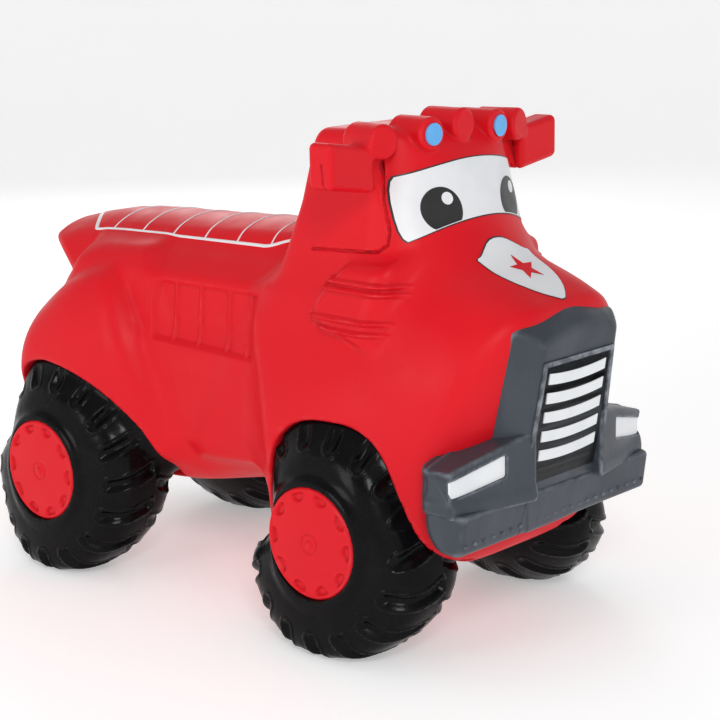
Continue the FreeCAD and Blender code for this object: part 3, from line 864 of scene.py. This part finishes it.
def piping_mesh():
    """The saddle's white lines: two edge lines, cross lines and a pointed rear end."""
    corner_y, tip_y, front_y = 226, 273, -36
    parts = []
    for side in (-1, 1):
        y = np.linspace(corner_y, front_y, 60)
        narrowing = ease(-y, 0, 36) * 7
        edge = np.column_stack([side * (PIPING_HALF - narrowing), y])
        tip_x = side * np.linspace(PIPING_HALF, 1, 14)
        tip = np.column_stack([tip_x, np.linspace(corner_y, tip_y, 14)])
        parts.append(bead(hull, edge, PIPING_WIDTH, 0.8))
        parts.append(bead(hull, tip, PIPING_WIDTH * 1.7, 0.8))
    for y in PIPING_CROSS_Y:
        x = np.linspace(-PIPING_HALF, PIPING_HALF, 30)
        line = np.column_stack([x, y - 4 * np.abs(x / PIPING_HALF) ** 2])
        parts.append(bead(hull, line, PIPING_WIDTH * 0.7, 0.7))
    points, faces = joined(parts)
    mesh = new_mesh("seat_piping_lines", points, faces)
    bm = bmesh.new()
    bm.from_mesh(mesh)
    bmesh.ops.recalc_face_normals(bm, faces=bm.faces)
    bm.to_mesh(mesh)
    bm.free()
    mesh.polygons.foreach_set("use_smooth", [True] * len(mesh.polygons))
    return mesh


# Materials ----------------------------------------------------------------------------------------
class Surface:
    """A node material with one Principled shader and helpers for its procedural detail."""

    def __init__(self, name, colour, roughness):
        self.material = bpy.data.materials.new(name)
        self.material.use_nodes = True
        self.tree = self.material.node_tree
        self.shader = self.tree.nodes["Principled BSDF"]
        self.shader.inputs["Base Color"].default_value = (*colour, 1)
        self.shader.inputs["Roughness"].default_value = roughness
        self.place = self.tree.nodes.new("ShaderNodeTexCoord").outputs["Object"]
        self.height = None

    def node(self, kind, **inputs):
        """A new node with its inputs set, or linked when they are sockets."""
        made = self.tree.nodes.new(kind)
        for name, value in inputs.items():
            socket = made.inputs[name.replace("_", " ")]
            if isinstance(value, bpy.types.NodeSocket):
                self.tree.links.new(value, socket)
            else:
                socket.default_value = value
        return made

    def noise(self, scale, detail, stretch=None):
        """A noise from 0 to 1; scale is in waves per metre."""
        vector = self.place
        if stretch:
            mapping = self.node("ShaderNodeMapping", Vector=self.place, Scale=stretch)
            vector = mapping.outputs["Vector"]
        made = self.node("ShaderNodeTexNoise", Vector=vector, Scale=scale, Detail=detail)
        return made.outputs["Fac"]

    def ranged(self, value, low, high, to_low, to_high):
        """Map low..high to to_low..to_high, and no further."""
        made = self.node("ShaderNodeMapRange", Value=value)
        limits = {"From Min": low, "From Max": high, "To Min": to_low, "To Max": to_high}
        for name, number in limits.items():
            made.inputs[name].default_value = number
        return made.outputs["Result"]

    def patches(self, scale, detail, low, high, to_low, to_high):
        """A noise mapped as in ranged."""
        return self.ranged(self.noise(scale, detail), low, high, to_low, to_high)

    def product(self, a, b):
        made = self.tree.nodes.new("ShaderNodeMath")
        made.operation = "MULTIPLY"
        self.tree.links.new(a, made.inputs[0])
        self.tree.links.new(b, made.inputs[1])
        return made.outputs["Value"]

    def raised_edges(self, low=0.515, high=0.58):
        """1 on outward edges, where paint wears, and 0 elsewhere."""
        pointy = self.tree.nodes.new("ShaderNodeNewGeometry").outputs["Pointiness"]
        return self.ranged(pointy, low, high, 0, 1)

    def crease_shade_mask(self):
        """1 in creases and grooves, where shade is painted, and 0 elsewhere."""
        pointy = self.tree.nodes.new("ShaderNodeNewGeometry").outputs["Pointiness"]
        return self.ranged(pointy, 0.43, 0.49, 1, 0)

    def tint(self, amount, colour):
        """Mix a colour over what the base colour is so far."""
        socket = self.shader.inputs["Base Color"]
        mix = self.tree.nodes.new("ShaderNodeMix")
        mix.data_type = "RGBA"
        self.tree.links.new(amount, mix.inputs["Factor"])
        if socket.is_linked:
            self.tree.links.new(socket.links[0].from_socket, mix.inputs["A"])
        else:
            mix.inputs["A"].default_value = socket.default_value
        mix.inputs["B"].default_value = (*colour, 1)
        self.tree.links.new(mix.outputs["Result"], socket)

    def roughen(self, value):
        self.tree.links.new(value, self.shader.inputs["Roughness"])

    def bump(self, height, depth, strength):
        """Add a layer of fine relief, depth in metres."""
        made = self.node("ShaderNodeBump", Height=height, Strength=strength, Distance=depth)
        if self.height is not None:
            self.tree.links.new(self.height, made.inputs["Normal"])
        self.height = made.outputs["Normal"]
        self.tree.links.new(self.height, self.shader.inputs["Normal"])


def red_skin(name, colour=(0.70, 0.007, 0.015)):
    """Satin soft PVC: faint clouds of colour, painted shade in the creases, dull scuffs, and a fine
    grain.
    """
    look = Surface(name, colour, 0.42)
    look.tint(look.patches(9, 2, 0.35, 0.75, 0, 0.5), (0.62, 0.006, 0.016))
    # Painted shade: creases and grooves are darkened as if shade fell in them.
    painted_crease_shade = look.product(look.crease_shade_mask(), look.patches(40, 3, 0.2, 0.6, 0.4, 0.9))
    look.tint(painted_crease_shade, (0.30, 0.003, 0.009))
    scuffs = look.product(look.raised_edges(), look.patches(70, 5, 0.45, 0.7, 0, 0.5))
    look.tint(scuffs, (0.84, 0.10, 0.12))
    look.roughen(look.patches(30, 4, 0.3, 0.7, 0.36, 0.50))
    look.bump(look.noise(14, 2), 0.004, 0.35)
    look.bump(look.noise(900, 2), 0.00018, 0.5)
    look.shader.inputs["Specular IOR Level"].default_value = 0.16
    return look.material


def tyre_black(name):
    """Glossy black paint with faint dust and smears."""
    look = Surface(name, (0.0025, 0.0025, 0.003), 0.26)
    look.tint(look.patches(38, 6, 0.52, 0.80, 0, 0.35), (0.010, 0.010, 0.012))
    edges = look.product(look.raised_edges(0.52, 0.62), look.patches(120, 4, 0.4, 0.7, 0, 0.5))
    look.tint(edges, (0.026, 0.026, 0.029))
    look.roughen(look.patches(55, 5, 0.3, 0.75, 0.17, 0.36))
    look.bump(look.noise(26, 3), 0.003, 0.4)
    look.bump(look.noise(420, 3), 0.0003, 0.5)
    look.shader.inputs["Specular IOR Level"].default_value = 0.06
    look.shader.inputs["Coat Weight"].default_value = 0.09
    look.shader.inputs["Coat Roughness"].default_value = 0.10
    return look.material


def grey_paint(name):
    """Hand-sprayed dark grey with a soft metallic tone, lighter on the edges: partly paint worn
    thin, partly a painted highlight.
    """
    look = Surface(name, (0.044, 0.052, 0.066), 0.38)
    brushed = look.noise(24, 4, (1, 1, 0.25))
    look.tint(look.ranged(brushed, 0.42, 0.75, 0, 0.6), (0.080, 0.090, 0.110))
    look.tint(look.patches(11, 2, 0.45, 0.75, 0, 0.5), (0.030, 0.035, 0.046))
    # Lighter raised edges: partly real wear, partly a painted highlight along the bevels.
    worn_and_highlit_edges = look.product(look.raised_edges(0.51, 0.56), look.patches(90, 5, 0.38, 0.62, 0.1, 1))
    look.tint(worn_and_highlit_edges, (0.26, 0.28, 0.32))
    look.roughen(look.patches(45, 5, 0.3, 0.7, 0.30, 0.48))
    look.bump(look.noise(300, 3), 0.0003, 0.5)
    look.bump(look.noise(22, 2), 0.002, 0.35)
    look.shader.inputs["Metallic"].default_value = 0.10
    look.shader.inputs["Specular IOR Level"].default_value = 0.30
    return look.material


def printed_ink(name, colour, shade, roughness):
    """A printed film: slightly uneven ink with a faint texture."""
    look = Surface(name, colour, roughness)
    look.tint(look.patches(34, 4, 0.4, 0.75, 0, 0.6), shade)
    look.roughen(look.patches(60, 4, 0.3, 0.7, roughness - 0.05, roughness + 0.09))
    look.bump(look.noise(500, 2), 0.00015, 0.4)
    return look.material


# Camera, light and floor --------------------------------------------------------------------------
def add_camera():
    """A long lens at the photograph's place, turned and tipped as the photographer held it."""
    turn, tip, roll = (math.radians(angle) for angle in (CAMERA_TURN, CAMERA_TIP, CAMERA_ROLL))
    ahead = Vector((
        -math.sin(turn) * math.cos(tip),
        math.cos(turn) * math.cos(tip),
        -math.sin(tip),
    ))
    right = Vector((math.cos(turn), math.sin(turn), 0))
    up = right.cross(ahead)
    rolled_right = math.cos(roll) * right + math.sin(roll) * up
    rolled_up = -math.sin(roll) * right + math.cos(roll) * up
    data = bpy.data.cameras.new("camera")
    data.lens = CAMERA_LENS
    data.sensor_width = 36
    data.clip_end = 50
    camera = bpy.data.objects.new("camera", data)
    bpy.context.scene.collection.objects.link(camera)
    rotation = Matrix((rolled_right, rolled_up, -ahead)).transposed()
    camera.matrix_world = Matrix.Translation(CAMERA_PLACE) @ rotation.to_4x4()
    bpy.context.scene.camera = camera


def add_area_light(name, place, size, power):
    """A square light that faces the truck, its size in metres and its power in watts."""
    target = Vector((0, 0, 0.2))
    data = bpy.data.lights.new(name, "AREA")
    data.shape = "RECTANGLE"
    data.size = data.size_y = size
    data.energy = power
    light = bpy.data.objects.new(name, data)
    bpy.context.scene.collection.objects.link(light)
    light.location = place
    light.rotation_euler = (target - Vector(place)).to_track_quat("-Z", "Y").to_euler()


def add_studio():
    """Four soft lights and a pale world, shown without the default tone curve."""
    add_area_light("key_light", (-1.7, -1.9, 1.7), 0.6, 21)
    add_area_light("side_light", (-2.4, 0.4, 0.9), 0.8, 9)
    add_area_light("top_light", (-0.2, 0.2, 2.4), 1.4, 3)
    add_area_light("back_light", (1.7, 1.9, 1.3), 1.0, 9)
    bpy.context.scene.view_settings.view_transform = "Standard"
    world = bpy.data.worlds.new("studio")
    bpy.context.scene.world = world
    world.use_nodes = True
    background = world.node_tree.nodes["Background"]
    background.inputs["Color"].default_value = (1.0, 1.0, 1.0, 1)
    background.inputs["Strength"].default_value = 0.42


def add_floor():
    """A pale floor that rises softly into a round backdrop."""
    look = Surface("studio_floor", (0.90, 0.90, 0.90), 0.7)
    look.tint(look.patches(3, 2, 0.4, 0.7, 0, 0.3), (0.88, 0.88, 0.885))
    look.shader.inputs["Emission Color"].default_value = (1, 1, 1, 1)
    look.shader.inputs["Emission Strength"].default_value = 0.36
    flat, bend, sides = 3.2, 2.4, 96
    rings = [(flat * 0.5, 0), (flat, 0)]
    for angle in np.linspace(0.1, 1.5, 15):
        rings.append((flat + bend * math.sin(angle), bend - bend * math.cos(angle)))
    points = [(0, 0, 0)]
    faces = [(0, 1 + i, 1 + (i + 1) % sides) for i in range(sides)]
    for ring, (radius, height) in enumerate(rings):
        for i in range(sides):
            turn = 2 * math.pi * i / sides
            points.append((radius * math.cos(turn), radius * math.sin(turn), height))
            if ring:
                a, b = 1 + ring * sides + i, 1 + ring * sides + (i + 1) % sides
                faces.append((a - sides, a, b, b - sides))
    mesh = bpy.data.meshes.new("floor")
    mesh.from_pydata(points, [], faces)
    mesh.polygons.foreach_set("use_smooth", [True] * len(mesh.polygons))
    mesh.materials.append(look.material)
    floor = bpy.data.objects.new("floor", mesh)
    bpy.context.scene.collection.objects.link(floor)


# Assembly -----------------------------------------------------------------------------------------
HULL_NODES = ["hull_front", "cab", "seat_deck", "hull_rear", "hull_waist"]
for part_name in ("side_stack", "step_block", "handle"):
    HULL_NODES += [f"{part_name}_left", f"{part_name}_right"]
HULL_NODES += [f"roof_lamp_{i}" for i in range(1, 6)]

# Where the hull's mesh is twice as fine: the stack, shutters, door line, grip, lamps and saddle rim
FINE_ZONES = [
    ((80, -200, 255), (125, -105, 330)),
    ((60, -110, 215), (115, 110, 300)),
    ((70, -185, 320), (95, -90, 410)),
    ((78, -180, 370), (160, -138, 435)),
    ((0, -195, 405), (112, -145, 445)),
    ((40, -30, 295), (66, 235, 330)),
]


def add_hull(material):
    mesh = skin_mesh("hull", hull, (0, -300, 60), (156, 304, 446), HULL_STEP, True, FINE_ZONES)
    add_piece("hull_skin", mesh, material, replaces=HULL_NODES)


def add_pair(mesh, names, nodes, material):
    """A piece on the left and its mirror image on the right, each in place of its CAD node."""
    other = mirrored_mesh(mesh, f"{mesh.name}_mirror")
    for name, node, side_mesh in zip(names, nodes, (mesh, other)):
        add_piece(name, side_mesh, material, replaces=[node])


def add_wheels(black, red):
    ends = (("front", FRONT_AXLE_Y, FRONT_REACH), ("rear", REAR_AXLE_Y, REAR_REACH))
    for end, axle_y, reach in ends:
        spare = reach + 8
        low = (44, axle_y - spare, -3)
        high = (164, axle_y + spare, 206)
        tyre_left = skin_mesh(f"tyre_{end}", lambda p: tyre(p, axle_y, reach), low, high, TYRE_STEP)
        spare = 52
        low = (136, axle_y - spare, AXLE_Z - spare)
        high = (164, axle_y + spare, AXLE_Z + spare)
        cap_left = skin_mesh(f"hub_{end}", lambda p: hub_cap(p, axle_y), low, high, TRIM_STEP)
        for part, mesh, material, slot in (
            ("tyre", tyre_left, black, "black_tyre"),
            ("hub_cap", cap_left, red, "red_pvc"),
        ):
            nodes = [f"{part}_{end}_left", f"{part}_{end}_right"]
            add_pair(mesh, [f"{node}_skin" for node in nodes], nodes, material)


def add_front_end(grey):
    mesh = skin_mesh("surround", grille_surround, (0, -312, 132), (78, -244, 298), TRIM_STEP, True)
    add_piece("grille_surround_skin", mesh, grey, replaces=["grille_surround"])
    mesh = skin_mesh("bumper", bumper, (-138, -294, 98), (138, -232, 150), TRIM_STEP)
    add_piece("bumper_skin", mesh, grey, replaces=["bumper"])
    mesh = skin_mesh("headlight", headlight_housing, (38, -296, 128), (142, -232, 196), TRIM_STEP)
    names = ["headlight_left_skin", "headlight_right_skin"]
    add_pair(mesh, names, ["headlight_housing_left", "headlight_housing_right"], grey)


def add_print(name, outline, onto, layer, material, replaces=()):
    """A printed area as a piece; layer 1 is next to the skin and higher layers cover it."""
    mesh = printed(name, outline, hull, onto, layer * PAINT_LIFT)
    add_piece(name, mesh, material, replaces=replaces)


def add_prints(white, black, red):
    """The windscreen with its eyes, the badge and the saddle's lines."""
    # A black band a little larger than the window: painted shade standing in for the groove round
    # it.
    add_print("windscreen_groove_shade", windscreen_outline(1.0), FRONT, 1, black)
    add_print("windscreen", windscreen_outline(0), FRONT, 2, white, ["windscreen_panel"])
    for side, name in ((-1, "right"), (1, "left")):
        node = f"pupil_{name}"
        add_print(f"{node}_print", pupil_outline(side), FRONT, 3, black, [node])
        glint = circle_outline(side * PUPIL_X + 5.5, PUPIL_Z + 8.5, GLINT_RADIUS)
        node = f"eye_highlight_{name}"
        add_print(f"glint_{name}", glint, FRONT, 4, white, [node])
    add_print("badge_edge", badge_outline(0.9), ABOVE, 1, black)
    add_print("badge", badge_outline(0), ABOVE, 2, white, ["bonnet_badge"])
    add_print("star", star_outline(), ABOVE, 3, red, ["badge_star"])
    add_piece("seat_piping_skin", piping_mesh(), white, replaces=["seat_piping"])


def dress_cad_nodes(looks):
    """Better materials for the CAD nodes that stay."""
    for material, names in looks:
        for name in names:
            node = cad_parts[name]
            for slot in node.material_slots:
                slot.material = material


def build():
    red = red_skin("red_pvc_skin")
    black = tyre_black("tyre_black")
    grey = grey_paint("grey_paint_worn")
    white = printed_ink("white_print", (0.80, 0.82, 0.84), (0.70, 0.73, 0.77), 0.38)
    ink = printed_ink("black_print", (0.008, 0.008, 0.009), (0.018, 0.018, 0.020), 0.34)
    blue = printed_ink("blue_print", (0.12, 0.45, 0.88), (0.08, 0.36, 0.80), 0.30)
    cap = red_skin("valve_plastic_skin", (0.58, 0.012, 0.02))
    add_hull(red)
    add_wheels(black, red)
    add_front_end(grey)
    add_prints(white, ink, red)
    slats = [f"grille_slat_{i}" for i in range(1, 6)]
    dress_cad_nodes([
        (white, slats + ["headlight_lens_left", "headlight_lens_right"]),
        (grey, ["grille_frame", "bumper_rivets"]),
        (ink, ["grille_panel"]),
        (blue, ["lamp_lens_left", "lamp_lens_right"]),
        (red, ["valve_boss"]),
        (cap, ["valve_plug"]),
    ])


add_camera()
add_studio()
add_floor()
build()
